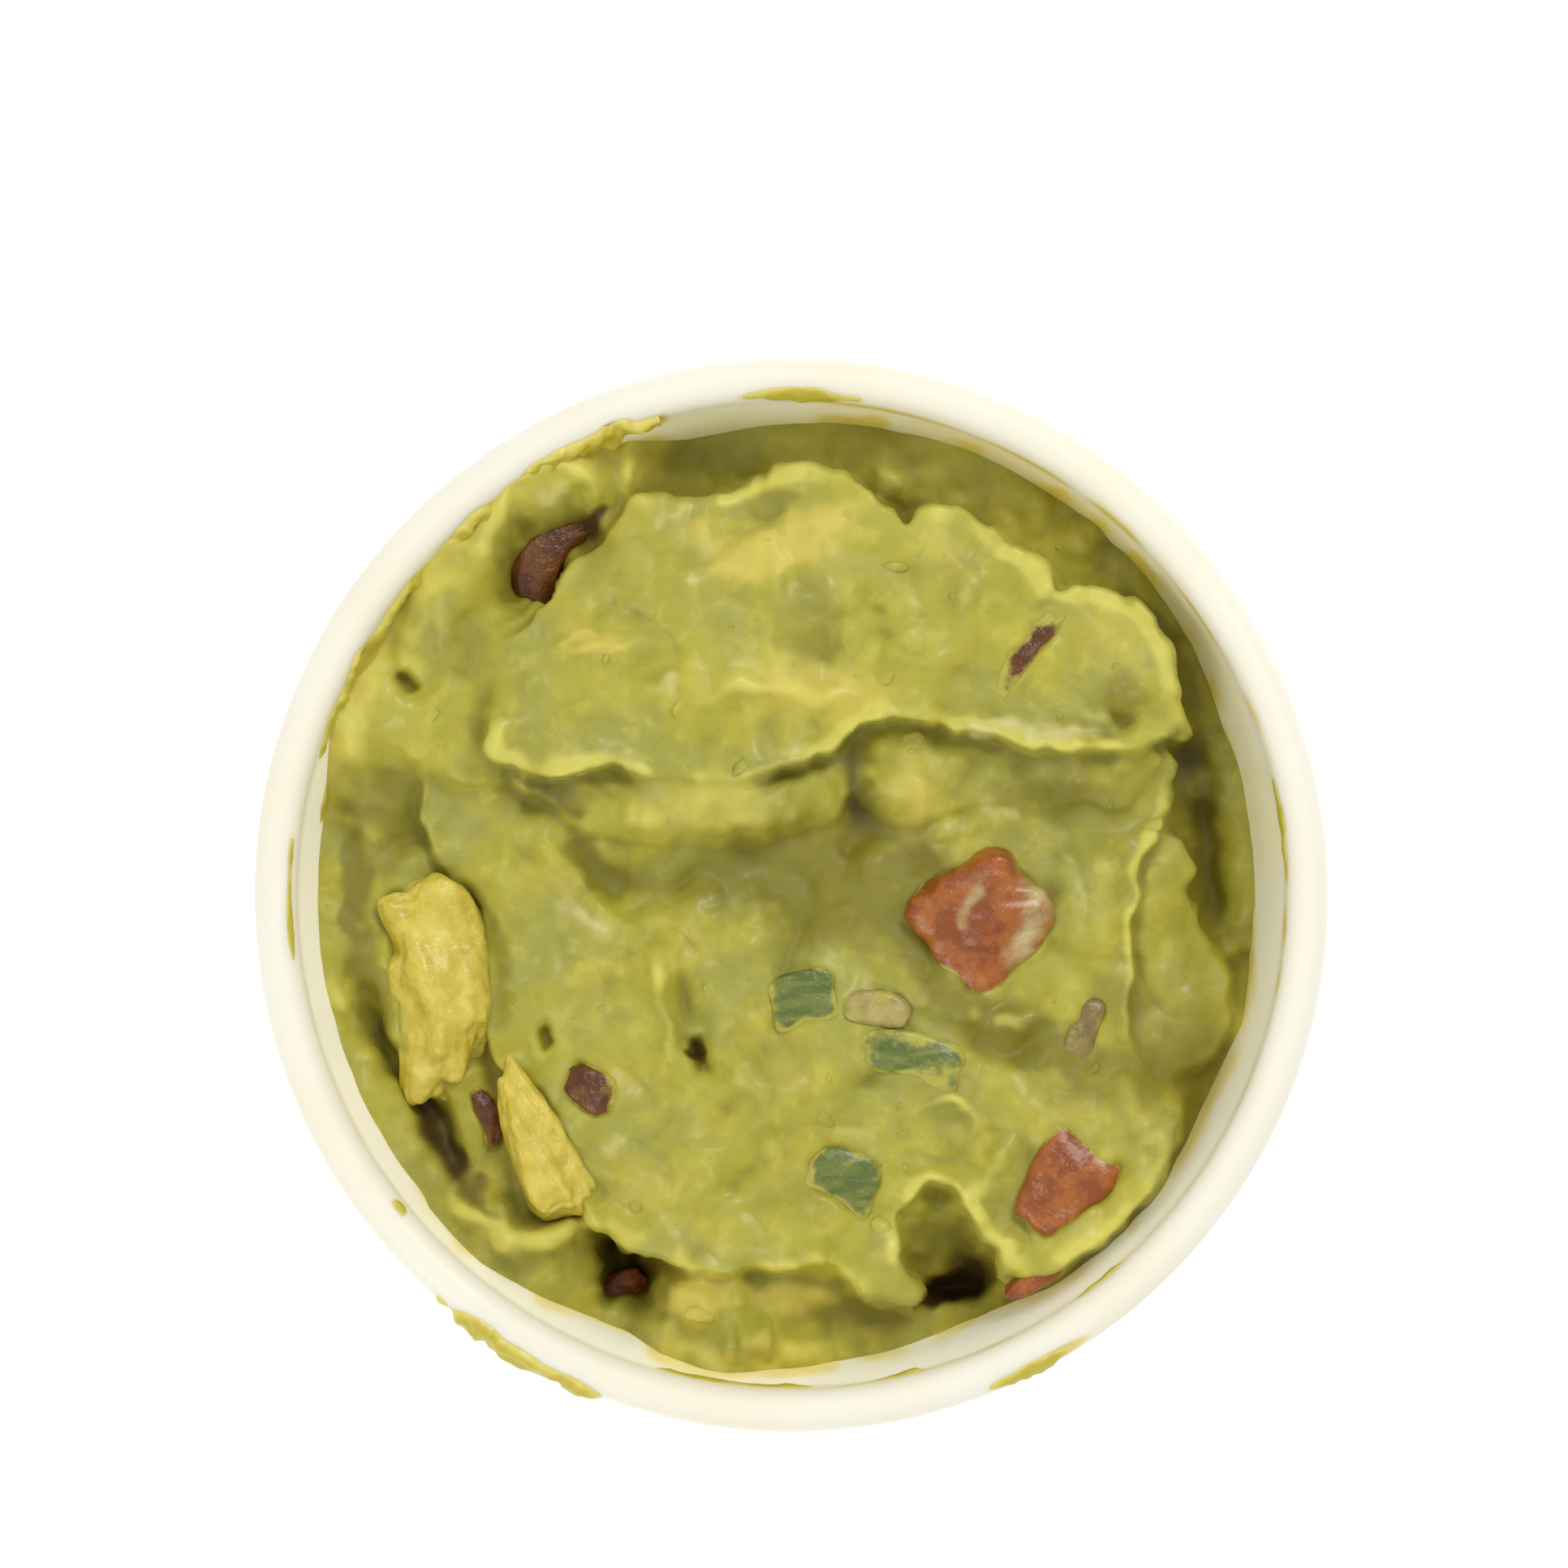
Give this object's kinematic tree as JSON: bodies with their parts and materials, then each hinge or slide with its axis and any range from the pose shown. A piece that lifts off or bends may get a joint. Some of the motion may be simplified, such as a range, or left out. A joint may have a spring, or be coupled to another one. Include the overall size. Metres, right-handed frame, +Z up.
{
  "type": "guacamole in a paper cup",
  "caption": "Small round white paper cup filled with chunky guacamole in two rough folds, with tomato, red onion, green pepper and avocado pieces.",
  "frame": {"origin": "centre of the cup's base ring, on the surface that the cup stands on", "axes": "+Z up along the axis of the cup, +X to the right and +Y away from someone who looks down on it as in the picture"},
  "size_m": [0.076, 0.076, 0.05],
  "materials": {
    "paper": "white coated paperboard, softly glossy on the rim, with guacamole smears",
    "guacamole": "wet mashed avocado, uneven yellow green with small glints",
    "tomato": "wet orange red tomato flesh with pale streaks",
    "red_onion": "wet maroon onion seen through a thin film of guacamole",
    "pale_onion": "translucent beige onion",
    "green_pepper": "wet green pepper with fine paler lines",
    "avocado": "soft yellow avocado flesh"
  },
  "bodies": {
    "root": {"cup_side": "paper", "cup_base": "paper", "guacamole": "guacamole", "tomato_dice_large": "tomato", "tomato_dice_front": "tomato", "tomato_sliver": "tomato", "red_onion_pit": "red_onion", "red_onion_top": "red_onion", "red_onion_left": "red_onion", "red_onion_low": "red_onion", "red_onion_deep": "red_onion", "onion_pale": "pale_onion", "onion_mauve": "pale_onion", "pepper_green_left": "green_pepper", "pepper_green_middle": "green_pepper", "pepper_green_front": "green_pepper", "avocado_chunk_left": "avocado", "avocado_chunk_front": "avocado"}
  },
  "joints": []
}
